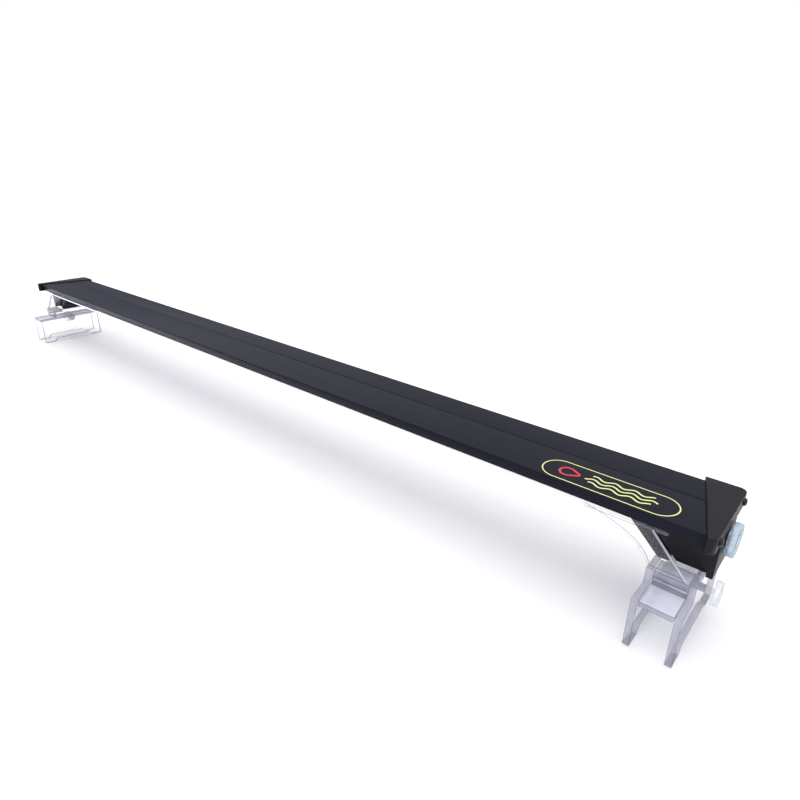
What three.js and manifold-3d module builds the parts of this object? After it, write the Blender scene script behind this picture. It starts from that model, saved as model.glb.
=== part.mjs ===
// A slim LED light for an aquarium: a black aluminium bar with a row of LED boards behind a clear
// cover, held over the tank by a clear foot at each end. Each foot straddles the rim of the tank.
//
// The model is laid out with z = 0 at the top of the end caps, x along the bar and y to the back,
// and is lifted at the end so that the feet stand on z = 0.
import * as THREE from 'three';
import { mergeVertices } from 'three/addons/utils/BufferGeometryUtils.js';
import Module from 'manifold-3d';

const wasm = await Module();
wasm.setup();

// ---- Driving dimensions, in millimetres ----
const GAP = 0.3; // clearance between neighbouring pieces
const LENGTH = 914; // over both end caps
const HEIGHT = 80; // from the bottom of the feet to the top of the caps

const CAP_WIDTH = 67.6;
const CAP_HEIGHT = 10.4;
const CAP_LENGTH = 24; // how far a cap reaches along the bar
const CAP_END_WALL = 3;
const CAP_CORNER = 4.5;

const BODY_WIDTH = 60.5;
const BODY_TOP = -1;
const BODY_BOTTOM = -9.4;
const BODY_WALL = 2.1;
const BODY_ROOF = 1.6;
const BOSS_Y = 26; // screw channels in the corners of the bar
const BOSS_Z = -4.8;

const COVER_TOP = BODY_BOTTOM - GAP;
const COVER_THICKNESS = 1.4;
const COVER_BOTTOM = COVER_TOP - COVER_THICKNESS;

const BOARD_COUNT = 6;
const LEDS_PER_BOARD = 8;
const BOARD_ROW = 790; // length of the whole row of boards
const BOARD_WIDTH = 8.4;
const BOARD_TOP = -3.6;
const BOARD_THICKNESS = 1;
const LED_SIZE = [5.6, 3, 0.8];

const SHEET = 4; // thickness of the clear sheet of the feet
const INNER_X = 425; // inboard face of a foot's inner plate
const OUTER_X = 449; // inboard face of its outer plate
const FOOT_FRONT = -48.5;
const FOOT_BACK = 30;
const FRONT_STEP = -30; // where the foot steps up from the rim plate to the ledge
const RIM_Z = -46;
const LEDGE_Z = -36;
const TOE_LENGTH = 13;
const TOE_STEP = 4;
const HOLDER_HALF = 16; // half depth of the black holder between the ledges

const MOUNT_SCREW_Z = -16; // thumb screw that holds a foot to the bar
const MOUNT_KNOB_RADIUS = 10.5;
const CLAMP_SCREW_Z = -55; // thumb screw that grips the glass
const CLAMP_KNOB_RADIUS = 8;
const JACK_Y = 19;
const JACK_Z = -5.9;

// Lengths that follow from them
const END = LENGTH / 2;
const CAP_START = END - CAP_LENGTH;
const CAP_INSIDE = END - CAP_END_WALL;
const BODY_HALF = CAP_INSIDE - GAP;
const INNER_FACE = INNER_X + SHEET + GAP; // where the sheets between the plates start
const OUTER_FACE = OUTER_X - GAP; // and where they stop
const BOARD_PITCH = BOARD_ROW / BOARD_COUNT;

const finish = (color, roughness, metalness = 0, extra = {}) =>
  new THREE.MeshStandardMaterial({ color, roughness, metalness, ...extra });
const clear = { transparent: true, opacity: 0.35 };
const MATERIALS = {
  anodised: () => finish(0x1b1d26, 0.35, 0.6),
  blackPlastic: () => finish(0x101114, 0.45),
  acrylic: () => finish(0xeef0fa, 0.08, 0, clear),
  clearNylon: () => finish(0xbfd3e2, 0.25, 0, clear),
  whiteBoard: () => finish(0xd9dcf0, 0.5),
  tape: () => finish(0xb9bcc2, 0.8),
  redWire: () => finish(0xa01818, 0.5),
  blackWire: () => finish(0x141414, 0.5),
  steel: () => finish(0x9a9ca0, 0.3, 0.9),
  brass: () => finish(0xb08a45, 0.35, 0.9),
  whitePlastic: () => finish(0xe8e6df, 0.45),
};

// ---- Shape helpers ----
const box = (x0, x1, y0, y1, z0, z1) =>
  solid(new THREE.BoxGeometry(x1 - x0, y1 - y0, z1 - z0)
    .translate((x0 + x1) / 2, (y0 + y1) / 2, (z0 + z1) / 2));

// a round bar along x
const rodX = (radius, x0, x1, y, z, sides = 20) =>
  solid(new THREE.CylinderGeometry(radius, radius, x1 - x0, sides)
    .rotateZ(Math.PI / 2).translate((x0 + x1) / 2, y, z));

// a round bar along z
const rodZ = (radius, x, y, z0, z1, sides = 20) =>
  solid(new THREE.CylinderGeometry(radius, radius, z1 - z0, sides)
    .rotateX(Math.PI / 2).translate(x, y, (z0 + z1) / 2));

const outline = (points) => new THREE.Shape(points.map(([a, b]) => new THREE.Vector2(a, b)));

// an outline in y and z, made into a plate from x0 to x1
function plateX(shape, x0, x1, curveSegments = 8) {
  const geometry = new THREE.ExtrudeGeometry(shape, { depth: x1 - x0, bevelEnabled: false, curveSegments });
  const turn = new THREE.Matrix4().makeBasis(
    new THREE.Vector3(0, 1, 0), new THREE.Vector3(0, 0, 1), new THREE.Vector3(1, 0, 0));
  return solid(geometry.applyMatrix4(turn).translate(x0, 0, 0));
}

// an outline in x and z, made into a plate from y0 to y1
function plateY(shape, y0, y1, curveSegments = 8) {
  const geometry = new THREE.ExtrudeGeometry(shape, { depth: y1 - y0, bevelEnabled: false, curveSegments });
  return solid(geometry.rotateX(Math.PI / 2).translate(0, y1, 0));
}

// a turned piece: pairs of radius and distance along +x from the point x, y, z
function turnedX(profile, x, y, z, sides = 16) {
  const points = profile.map(([radius, along]) => new THREE.Vector2(radius, along));
  return solid(new THREE.LatheGeometry(points, sides).rotateZ(-Math.PI / 2).translate(x, y, z));
}

function solid(geometry) {
  geometry.deleteAttribute('normal');
  geometry.deleteAttribute('uv');
  const welded = mergeVertices(geometry, 1e-4);
  const corners = welded.index.array;
  const triVerts = [];
  for (let i = 0; i < corners.length; i += 3) {
    const [a, b, c] = corners.slice(i, i + 3);
    if (a !== b && b !== c && c !== a) triVerts.push(a, b, c);
  }
  return new wasm.Manifold(new wasm.Mesh({
    numProp: 3,
    vertProperties: new Float32Array(welded.attributes.position.array),
    triVerts: new Uint32Array(triVerts),
  }));
}

const fixture = new THREE.Group();
fixture.name = 'aquarium_light';

// adds a solid as a named mesh; side -1 makes the mirrored piece at the far end of the bar
function add(name, shape, material, side = 1) {
  const { vertProperties, triVerts } = shape.getMesh();
  const position = Float32Array.from(vertProperties, (v, i) => (i % 3 === 0 ? v * side : v));
  const index = side > 0 ? triVerts : triVerts.map((_, i, all) => all[i + 2 - 2 * (i % 3)]);
  const geometry = new THREE.BufferGeometry();
  geometry.setAttribute('position', new THREE.BufferAttribute(position, 3));
  geometry.setIndex(new THREE.BufferAttribute(Uint32Array.from(index), 1));
  geometry.computeVertexNormals();
  const mesh = new THREE.Mesh(geometry, material());
  mesh.name = name;
  fixture.add(mesh);
}

// ---- The bar ----
const ROOF_INSIDE = BODY_TOP - BODY_ROOF;
const BOSS_FACE = 23.2; // inner face of the screw channels
const RIB_Y = [11, 12.5]; // ribs on each side of the LED row
const RIB_BOTTOM = -6;
const RAIL_SLOT = { top: -6.6, bottom: -7.8, depth: 1.2 };
const GROOVE = { y: 4.8, half: 1, floorHalf: 0.5, depth: 0.45 };

function housing() {
  const half = BODY_WIDTH / 2;
  const corner = 0.9;
  const shape = new THREE.Shape();
  shape.moveTo(-half, BODY_BOTTOM);
  shape.absarc(-half + corner, BODY_TOP - corner, corner, Math.PI, Math.PI / 2, true);
  shape.lineTo(GROOVE.y - GROOVE.half, BODY_TOP);
  shape.lineTo(GROOVE.y - GROOVE.floorHalf, BODY_TOP - GROOVE.depth);
  shape.lineTo(GROOVE.y + GROOVE.floorHalf, BODY_TOP - GROOVE.depth);
  shape.lineTo(GROOVE.y + GROOVE.half, BODY_TOP);
  shape.absarc(half - corner, BODY_TOP - corner, corner, Math.PI / 2, 0, true);
  shape.lineTo(half, BODY_BOTTOM);
  const inside = [
    [half - BODY_WALL, BODY_BOTTOM],
    [half - BODY_WALL, BODY_BOTTOM + 1],
    [BOSS_FACE, BODY_BOTTOM + 1],
    [BOSS_FACE, RAIL_SLOT.bottom],
    [BOSS_FACE + RAIL_SLOT.depth, RAIL_SLOT.bottom],
    [BOSS_FACE + RAIL_SLOT.depth, RAIL_SLOT.top],
    [BOSS_FACE, RAIL_SLOT.top],
    [BOSS_FACE, ROOF_INSIDE],
    [RIB_Y[1], ROOF_INSIDE],
    [RIB_Y[1], RIB_BOTTOM],
    [RIB_Y[0], RIB_BOTTOM],
    [RIB_Y[0], ROOF_INSIDE],
  ];
  inside.forEach(([y, z]) => shape.lineTo(y, z));
  inside.reverse().forEach(([y, z]) => shape.lineTo(-y, z));
  for (const y of [-BOSS_Y, BOSS_Y]) {
    shape.holes.push(new THREE.Path().absarc(y, BOSS_Z, 1.5, 0, Math.PI * 2, false));
  }
  let bar = plateX(shape, -BODY_HALF, BODY_HALF, 4);
  for (const side of [-1, 1]) {
    const reach = [CAP_START + 2, END].map((x) => x * side).sort((a, b) => a - b);
    bar = bar.subtract(box(...reach, -22.5, 22.5, BODY_BOTTOM - 1, ROOF_INSIDE));
  }
  return bar;
}
add('housing', housing(), MATERIALS.anodised);

function lensCover() {
  const half = 29.5;
  const rail = { inner: 21.4, outer: 22.9, hook: 24.1, top: -6.9, under: -7.5 };
  const right = [
    [half, COVER_BOTTOM],
    [half, COVER_TOP],
    [rail.outer, COVER_TOP],
    [rail.outer, rail.under],
    [rail.hook, rail.under],
    [rail.hook, rail.top],
    [rail.inner, rail.top],
    [rail.inner, COVER_TOP],
  ];
  const left = right.map(([y, z]) => [-y, z]).reverse();
  return plateX(outline([...right, ...left]), -CAP_START + 0.5, CAP_START - 0.5);
}
add('lens_cover', lensCover(), MATERIALS.acrylic);

// ---- LED row ----
const TAPE_HALF = BOARD_ROW / 2 - 1;
add('thermal_tape', box(-TAPE_HALF, TAPE_HALF, -3.8, 3.8, BOARD_TOP + GAP, ROOF_INSIDE - GAP), MATERIALS.tape);

function ledBoard(number) {
  const start = -BOARD_ROW / 2 + number * BOARD_PITCH + 0.2;
  const stop = start + BOARD_PITCH - 0.4;
  const face = BOARD_TOP - BOARD_THICKNESS;
  const [length, width, height] = LED_SIZE;
  let board = box(start, stop, -BOARD_WIDTH / 2, BOARD_WIDTH / 2, face, BOARD_TOP);
  for (let led = 0; led < LEDS_PER_BOARD; led += 1) {
    const x = start + ((led + 0.5) * (stop - start)) / LEDS_PER_BOARD;
    board = board.add(box(x - length / 2, x + length / 2, -width / 2, width / 2, face - height, face + 0.2));
  }
  return board;
}
for (let number = 0; number < BOARD_COUNT; number += 1) {
  add(`led_board_${number + 1}`, ledBoard(number), MATERIALS.whiteBoard);
}

// a small bridging connector over each joint between two boards
function boardLink(x) {
  const under = BOARD_TOP - BOARD_THICKNESS - GAP;
  const shape = outline([
    [x - 3, under], [x - 2.4, under - 1.1], [x + 2.4, under - 1.1], [x + 3, under],
  ]);
  return plateY(shape, -2.6, 2.6);
}
for (let joint = 1; joint < BOARD_COUNT; joint += 1) {
  add(`board_link_${joint}`, boardLink(-BOARD_ROW / 2 + joint * BOARD_PITCH), MATERIALS.whitePlastic);
}

// ---- Power inlet in the left end cap, and its two wires ----
const JACK_BACK = CAP_INSIDE - 9;
function jack() {
  return turnedX([
    [0, 0], [2.9, 0], [2.9, END - JACK_BACK + GAP], [3.9, END - JACK_BACK + GAP],
    [3.9, END - JACK_BACK + 1.5], [1.8, END - JACK_BACK + 1.5], [1.8, 2], [0.6, 2],
    [0.6, END - JACK_BACK + 0.5], [0, END - JACK_BACK + 0.5],
  ], JACK_BACK, JACK_Y, JACK_Z, 20);
}
add('power_jack', jack(), MATERIALS.blackPlastic, -1);

function feedWire(offset) {
  const start = BOARD_ROW / 2 + 0.6;
  const path = new THREE.CatmullRomCurve3([
    [JACK_BACK - GAP, JACK_Y + offset, JACK_Z],
    [JACK_BACK - 6, JACK_Y + offset, JACK_Z],
    [start + 28, 14 + offset, -7.4],
    [start + 15, 7 + offset, -7.4],
    [start + 6, offset * 1.4, -5.2],
    [start, offset * 1.4, BOARD_TOP - BOARD_THICKNESS / 2],
  ].map((p) => new THREE.Vector3(...p)));
  const section = new THREE.Shape().absarc(0, 0, 0.6, 0, Math.PI * 2);
  return solid(new THREE.ExtrudeGeometry(section, { extrudePath: path, steps: 24, curveSegments: 4 }));
}
add('feed_wire_positive', feedWire(-1.1), MATERIALS.redWire, -1);
add('feed_wire_negative', feedWire(1.1), MATERIALS.blackWire, -1);

// ---- End caps ----
const HOLDER_SCREW = { x: 443, y: 9.5, hole: 1.8, shank: 1.5, headRadius: 2.7, seat: -18 };

function endCap(hasJack) {
  const half = CAP_WIDTH / 2;
  const bevel = 0.6;
  const shape = new THREE.Shape();
  shape.moveTo(CAP_START + bevel, -half + bevel);
  shape.absarc(END - CAP_CORNER, -half + CAP_CORNER, CAP_CORNER - bevel, -Math.PI / 2, 0, false);
  shape.absarc(END - CAP_CORNER, half - CAP_CORNER, CAP_CORNER - bevel, 0, Math.PI / 2, false);
  shape.lineTo(CAP_START + bevel, half - bevel);
  const block = solid(new THREE.ExtrudeGeometry(shape, {
    depth: CAP_HEIGHT - 2 * bevel, bevelThickness: bevel, bevelSize: bevel, bevelSegments: 2, curveSegments: 6,
  }).translate(0, 0, -CAP_HEIGHT + bevel));
  const bore = BODY_WIDTH / 2 + GAP;
  let cap = block
    .subtract(box(CAP_START - 1, CAP_INSIDE, -bore, bore, BODY_BOTTOM - GAP, BODY_TOP + GAP))
    .add(box(CAP_START + 3, CAP_INSIDE + 1, -14, 14, BODY_BOTTOM - 0.6, ROOF_INSIDE - 0.5));
  for (const side of [-1, 1]) {
    cap = cap.subtract(rodX(1.5, CAP_INSIDE - 1, END + 1, side * BOSS_Y, BOSS_Z, 16));
    cap = cap.subtract(rodZ(HOLDER_SCREW.hole, HOLDER_SCREW.x, side * HOLDER_SCREW.y, -12, -4.2, 16));
  }
  return hasJack ? cap.subtract(rodX(3.2, CAP_INSIDE - 1, END + 1, JACK_Y, JACK_Z)) : cap;
}

const panHead = [[0, 1.5], [1.5, 1.4], [2.3, 0.9], [2.5, 0.4], [2.5, 0]];
const capScrew = (side) =>
  turnedX([[0, -12], [0.7, -12], [1.15, -11.4], [1.15, 0], ...panHead.toReversed()],
    END + GAP, side * BOSS_Y, BOSS_Z);

// ---- Feet, described at the right end ----
// the plates' outline from the toe at the front bottom round to the heel
const footEdge = (upper) => [
  [FOOT_FRONT + TOE_LENGTH + TOE_STEP, -HEIGHT + TOE_STEP],
  [FOOT_FRONT + TOE_LENGTH, -HEIGHT],
  [FOOT_FRONT + 0.8, -HEIGHT],
  [FOOT_FRONT, -HEIGHT + 1.5],
  [FOOT_FRONT, RIM_Z],
  ...upper,
  [FOOT_BACK, -HEIGHT + 1.5],
  [FOOT_BACK - 0.8, -HEIGHT],
  [FOOT_BACK - TOE_LENGTH, -HEIGHT],
  [FOOT_BACK - TOE_LENGTH - TOE_STEP, -HEIGHT + TOE_STEP],
];

const innerPlate = () =>
  plateX(outline(footEdge([[FRONT_STEP, RIM_Z], [FRONT_STEP, LEDGE_Z], [FOOT_BACK, LEDGE_Z]])),
    INNER_X, INNER_X + SHEET);

// the outer plate's tongue rises into a slot of the holder
const TONGUE = { half: 12.5, top: -12.2 };
const REAR_SLOPE = { start: [21, -20], stop: [FOOT_BACK, -34] };
const outerPlate = () =>
  plateX(outline(footEdge([
    [FRONT_STEP, RIM_Z], [FRONT_STEP, LEDGE_Z], [-TONGUE.half, LEDGE_Z], [-TONGUE.half, TONGUE.top],
    [TONGUE.half, TONGUE.top], REAR_SLOPE.start, REAR_SLOPE.stop,
  ])), OUTER_X, OUTER_X + SHEET)
    .subtract(rodX(3, OUTER_X - 1, OUTER_X + SHEET + 1, 0, MOUNT_SCREW_Z))
    .subtract(rodX(2.5, OUTER_X - 1, OUTER_X + SHEET + 1, 0, CLAMP_SCREW_Z));

// a web with a hollow curve inboard and a straight slanting edge outboard
const GUSSET = { tip: 381, curveX: 421.5, curveZ: -18.4, slantTop: 424, slantFoot: 446.6, thickness: 3 };
function gusset(y0) {
  const top = COVER_BOTTOM - GAP;
  const low = LEDGE_Z + GAP;
  const shape = new THREE.Shape();
  shape.moveTo(GUSSET.tip, top);
  shape.quadraticCurveTo(GUSSET.curveX, GUSSET.curveZ, INNER_X + 0.5, low);
  shape.lineTo(GUSSET.slantFoot, low);
  shape.lineTo(GUSSET.slantTop, top);
  return plateY(shape, y0, y0 + GUSSET.thickness, 14);
}

const RIM_PLATE_THICKNESS = 3.5;
const sheet = (y0, y1, z0, z1) => box(INNER_FACE, OUTER_FACE, y0, y1, z0, z1);
const SHEETS = {
  rim_plate: [FOOT_FRONT, FOOT_BACK, RIM_Z - RIM_PLATE_THICKNESS, RIM_Z],
  front_riser: [FRONT_STEP, FRONT_STEP + SHEET, RIM_Z + GAP, LEDGE_Z - SHEET - GAP],
  front_ledge: [FRONT_STEP, -HOLDER_HALF - 0.5, LEDGE_Z - SHEET, LEDGE_Z],
  rear_riser: [FOOT_BACK - SHEET, FOOT_BACK, RIM_Z + GAP, LEDGE_Z - SHEET - GAP],
  rear_ledge: [HOLDER_HALF + 0.5, FOOT_BACK, LEDGE_Z - SHEET, LEDGE_Z],
};

// black block under the end cap, slotted from behind for the outer plate's tongue
const HOLDER = { tip: 415.1, corner: 437, bottom: -33.3, lip: LEDGE_Z, step: CAP_START + 0.6 };
const INSERT = { start: 440.3, stop: 448.4, outer: 4.2, inner: 2.8 };
function holder() {
  const underCap = -CAP_HEIGHT - GAP;
  const underCover = COVER_BOTTOM - GAP;
  const slotEnd = OUTER_X + SHEET + GAP;
  const shape = outline([
    [HOLDER.tip, underCover], [HOLDER.corner, HOLDER.bottom], [slotEnd, HOLDER.bottom],
    [slotEnd, HOLDER.lip], [END, HOLDER.lip], [END, underCap],
    [HOLDER.step, underCap], [HOLDER.step, underCover],
  ]);
  let block = plateY(shape, -HOLDER_HALF, HOLDER_HALF)
    .subtract(box(OUTER_FACE, slotEnd, -TONGUE.half - GAP, HOLDER_HALF + 1, HOLDER.bottom - 1, TONGUE.top + GAP))
    .subtract(rodX(3, 436, END + 1, 0, MOUNT_SCREW_Z))
    .subtract(rodX(INSERT.outer + GAP, INSERT.start - GAP, OUTER_FACE + 0.1, 0, MOUNT_SCREW_Z));
  for (const side of [-1, 1]) {
    const { x, y, hole, headRadius, seat } = HOLDER_SCREW;
    block = block.subtract(rodZ(hole, x, side * y, seat - 1, -10, 16));
    block = block.subtract(rodZ(headRadius + GAP, x, side * y, -40, seat, 16));
  }
  return block;
}

// black brace that slants from under the bar down to the level of the ledges
const STRUT = { top: [401.6, 410.4], foot: [426.5, 433], shoulder: -34 };
const strut = () =>
  plateY(outline([
    [STRUT.top[0], COVER_BOTTOM - GAP], [STRUT.foot[0], LEDGE_Z + GAP], [STRUT.foot[1], LEDGE_Z + GAP],
    [STRUT.foot[1], STRUT.shoulder], [STRUT.top[1], COVER_BOTTOM - GAP],
  ]), -HOLDER_HALF, HOLDER_HALF);

function holderScrew(side) {
  const { x, y, shank, headRadius, seat } = HOLDER_SCREW;
  const profile = [
    [0, 13], [1, 13], [shank, 12.4], [shank, 0],
    [headRadius, 0], [headRadius, -1.4], [headRadius - 0.5, -2], [0, -2],
  ];
  const points = profile.map(([radius, along]) => new THREE.Vector2(radius, along)).reverse();
  return solid(new THREE.LatheGeometry(points, 16).rotateX(Math.PI / 2).translate(x, side * y, seat - GAP));
}

// a flat knob with shallow flutes round its rim, on a threaded shank that points inboard
function thumbScrew({ radius, thickness, flutes, face, shank, tip, z }) {
  const steps = flutes * 6;
  const rim = Array.from({ length: steps }, (_, i) => {
    const angle = (i / steps) * Math.PI * 2;
    const r = radius * (0.97 + 0.03 * Math.cos(flutes * angle));
    return [r * Math.cos(angle), z + r * Math.sin(angle)];
  });
  return plateX(outline(rim), face, face + thickness).add(rodX(shank, tip, face + 0.5, 0, z));
}
const washer = (inner, outer, x0, x1, z) => rodX(outer, x0, x1, 0, z).subtract(rodX(inner, x0 - 1, x1 + 1, 0, z));

const WASHER = { start: END + GAP, stop: END + 1.1 };
const MOUNT_SCREW = {
  radius: MOUNT_KNOB_RADIUS, thickness: 4.4, flutes: 12, face: WASHER.stop + GAP,
  shank: 2.5, tip: 441, z: MOUNT_SCREW_Z,
};
const PAD = { start: 446.4, stop: 448.4 };
const CLAMP_SCREW = {
  radius: CLAMP_KNOB_RADIUS, thickness: 4.4, flutes: 10, face: 457.3,
  shank: 2.2, tip: PAD.stop + GAP, z: CLAMP_SCREW_Z,
};

for (const [end, side] of [['left', -1], ['right', 1]]) {
  add(`${end}_end_cap`, endCap(side < 0), MATERIALS.blackPlastic, side);
  add(`${end}_cap_screw_front`, capScrew(-1), MATERIALS.steel, side);
  add(`${end}_cap_screw_rear`, capScrew(1), MATERIALS.steel, side);
  add(`${end}_inner_plate`, innerPlate(), MATERIALS.acrylic, side);
  add(`${end}_outer_plate`, outerPlate(), MATERIALS.acrylic, side);
  add(`${end}_front_gusset`, gusset(FRONT_STEP), MATERIALS.acrylic, side);
  add(`${end}_rear_gusset`, gusset(FOOT_BACK - GUSSET.thickness), MATERIALS.acrylic, side);
  for (const [name, limits] of Object.entries(SHEETS)) {
    add(`${end}_${name}`, sheet(...limits), MATERIALS.acrylic, side);
  }
  add(`${end}_holder`, holder(), MATERIALS.blackPlastic, side);
  add(`${end}_strut`, strut(), MATERIALS.blackPlastic, side);
  add(`${end}_holder_screw_front`, holderScrew(-1), MATERIALS.steel, side);
  add(`${end}_holder_screw_rear`, holderScrew(1), MATERIALS.steel, side);
  add(`${end}_threaded_insert`, washer(INSERT.inner, INSERT.outer, INSERT.start, INSERT.stop, MOUNT_SCREW_Z),
    MATERIALS.brass, side);
  add(`${end}_mount_washer`, washer(2.8, 5.5, WASHER.start, WASHER.stop, MOUNT_SCREW_Z),
    MATERIALS.steel, side);
  add(`${end}_mount_screw`, thumbScrew(MOUNT_SCREW), MATERIALS.clearNylon, side);
  add(`${end}_clamp_screw`, thumbScrew(CLAMP_SCREW), MATERIALS.clearNylon, side);
  add(`${end}_clamp_pad`, rodX(4.8, PAD.start, PAD.stop, 0, CLAMP_SCREW_Z), MATERIALS.whitePlastic, side);
}

// stand the light on its feet, centred front to back
fixture.position.set(0, -(FOOT_FRONT + CAP_WIDTH / 2) / 2, HEIGHT);

export default fixture;
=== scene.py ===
"""The looks of a slim LED aquarium light: a black bar on two clear feet that straddle a tank's rim."""

import math

import bmesh
import bpy
from mathutils import Matrix, Vector


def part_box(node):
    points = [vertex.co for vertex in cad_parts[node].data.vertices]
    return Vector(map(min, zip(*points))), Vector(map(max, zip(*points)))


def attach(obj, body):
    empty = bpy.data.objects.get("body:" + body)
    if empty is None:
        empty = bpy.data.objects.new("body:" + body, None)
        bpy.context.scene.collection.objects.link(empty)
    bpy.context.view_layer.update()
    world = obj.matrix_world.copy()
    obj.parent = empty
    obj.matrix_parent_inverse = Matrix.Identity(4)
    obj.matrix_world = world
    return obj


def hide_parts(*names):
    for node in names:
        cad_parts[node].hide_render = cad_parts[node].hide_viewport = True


bl_info = {
    "name": "Aquarium Light",
    "version": (1, 0, 0),
    "blender": (4, 5, 0),
    "location": "View3D > Sidebar > Aquarium Light",
    "description": "Builds the finished pieces of an LED aquarium light around its fixed frame",
    "category": "Object",
}

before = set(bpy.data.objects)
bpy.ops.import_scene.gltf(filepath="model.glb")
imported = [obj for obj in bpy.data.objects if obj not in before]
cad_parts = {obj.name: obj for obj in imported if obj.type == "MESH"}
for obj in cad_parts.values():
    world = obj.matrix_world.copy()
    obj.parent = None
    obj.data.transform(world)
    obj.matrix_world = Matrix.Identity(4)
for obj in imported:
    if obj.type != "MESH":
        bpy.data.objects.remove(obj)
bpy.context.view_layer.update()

MM = 0.001
ENDS = {"left": -1, "right": 1}
SHEETS = ("inner_plate", "outer_plate", "rim_plate", "front_riser", "front_ledge", "rear_riser",
          "rear_ledge", "front_gusset", "rear_gusset")
BOARDS = [f"led_board_{number}" for number in range(1, 7)]
LINKS = [f"board_link_{number}" for number in range(1, 6)]
LEDS_PER_BOARD = 8
LED_ORDER = ("white", "red", "white", "white", "blue", "white")
CHIP_AFTER = (1, 5)  # places in that order that a resistor follows
LED_CASE = (5.9 * MM, 3.3 * MM, 0.95 * MM)  # length, width and height
LED_WALL = 0.5 * MM
LED_HEIGHT = 0.8 * MM  # how far an LED stands out of its board
HEAD_RISE = 1.5 * MM  # how far a cap screw's head stands out of its seat
KNOB_DEPTH = 4.4 * MM
WASHER_BORE = 2.8 * MM
FLAT_ANGLE = math.radians(0.8)  # faces that meet at less than this become one
EDGE_ANGLE = math.radians(35)  # edges sharper than this are rounded

MIX_FIRST, MIX_SECOND, MIX_RESULT = 6, 7, 2  # the colour sockets of a Mix node
FACE, EDGE, ARRIS, GLINT = range(4)  # the order of a clear sheet's finishes, lighter and darker copies of one clear material that paint its light and shade

CAMERA_PLACE = (0.4946, -0.32375, 0.2653)  # metres
CAMERA_YAW, CAMERA_PITCH, CAMERA_ROLL = -40.62, -23.24, 0.6  # degrees
CAMERA_LENS, CAMERA_SENSOR = 26.37, 36.0  # millimetres
FLOOR_REACH = 12.0  # metres to each side


# ---------------------------------------------------------------- settings

def measure(name, description, default, least=0.0):
    """A length setting."""
    return bpy.props.FloatProperty(
        name=name, description=description, default=default, min=least, subtype="DISTANCE",
        unit="LENGTH")


class LightSizes(bpy.types.PropertyGroup):
    """Small sizes of the finished pieces."""

    bar_edge: measure("Bar edge", "Width of the rounded edges of the bar", 0.25 * MM)
    sheet_edge: measure("Sheet edge", "Width of the polished arris on the clear sheet", 0.3 * MM)
    moulded_edge: measure("Moulded edge", "Width of the rounded edges of the black holders",
                          0.4 * MM)
    mount_pitch: measure("Mount thread", "Pitch of the mount screws' thread", 1.0 * MM, 0.1 * MM)
    clamp_pitch: measure("Clamp thread", "Pitch of the clamp screws' thread", 0.8 * MM, 0.1 * MM)
    mark_length: measure("Mark length", "Length of the oval printed on the bar", 84 * MM)
    mark_width: measure("Mark width", "Width of the oval printed on the bar", 22.5 * MM)


def colour(name, description, default):
    """A colour setting."""
    return bpy.props.FloatVectorProperty(
        name=name, description=description, default=default, size=3, min=0.0, max=1.0,
        subtype="COLOR")


class LightColours(bpy.types.PropertyGroup):
    """Colours of the finishes, in linear light."""

    bar: colour("Bar", "Anodised aluminium of the bar", (0.0075, 0.008, 0.014))
    moulded: colour("Moulded parts", "Black plastic of caps and holders", (0.008, 0.008, 0.010))
    # Painted light and shade: the clear sheet's colours below are lighter and darker copies of one
    # clear material, a painted reflection on its faces, painted light on its level sheets, painted
    # shade on its edges and corners and a painted glint on the web edges.
    sheet: colour("Clear sheet", "Faces of the clear feet", (0.90, 0.91, 0.97))
    slab: colour("Level sheets", "Faces of the level sheets of the feet", (0.78, 0.79, 0.93))
    sheet_rim_shade: colour("Sheet edges", "Cut edges of the clear feet", (0.34, 0.33, 0.43))
    glint: colour("Web edges", "Slanting edges of the webs", (0.84, 0.84, 0.95))
    arris: colour("Sheet corners", "Corners between faces and edges", (0.10, 0.10, 0.13))
    nylon: colour("Mount screws", "Translucent plastic of the mount screws", (0.28, 0.42, 0.58))
    clamp: colour("Clamp screws", "Clear plastic of the clamp screws", (0.72, 0.74, 0.80))
    board: colour("Boards", "Solder mask of the LED boards", (0.62, 0.64, 0.80))
    print: colour("Print", "Print on top of the bar", (0.78, 0.80, 0.33))
    accent: colour("Accent", "Second colour of the print", (0.62, 0.02, 0.03))
    floor: colour("Floor", "Floor under the light", (0.93, 0.93, 0.94))


def sizes():
    """The size settings in use."""
    return bpy.context.scene.light_sizes


def colours():
    """The colour settings in use."""
    return bpy.context.scene.light_colours


# ---------------------------------------------------------------- shader writing

class Signal:
    """A shader number. Python arithmetic on it adds Math nodes to its finish."""

    def __init__(self, finish, socket):
        self.finish = finish
        self.socket = socket

    def math(self, operation, *others):
        """This signal put through a Math node, with any other values after it."""
        return self.finish.add("ShaderNodeMath", {"operation": operation}, (self, *others))

    def __add__(self, other):
        return self.math("ADD", other)

    def __mul__(self, other):
        return self.math("MULTIPLY", other)

    def __sub__(self, other):
        return self.math("SUBTRACT", other)

    def __rsub__(self, other):
        return self.finish.add("ShaderNodeMath", {"operation": "SUBTRACT"}, (other, self))

    def __pow__(self, other):
        return self.math("POWER", other)

    def __abs__(self):
        return self.math("ABSOLUTE")

    __radd__ = __add__
    __rmul__ = __mul__

    def clipped(self):
        """This signal kept between 0 and 1."""
        return self.math("MAXIMUM", 0.0).math("MINIMUM", 1.0)


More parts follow.
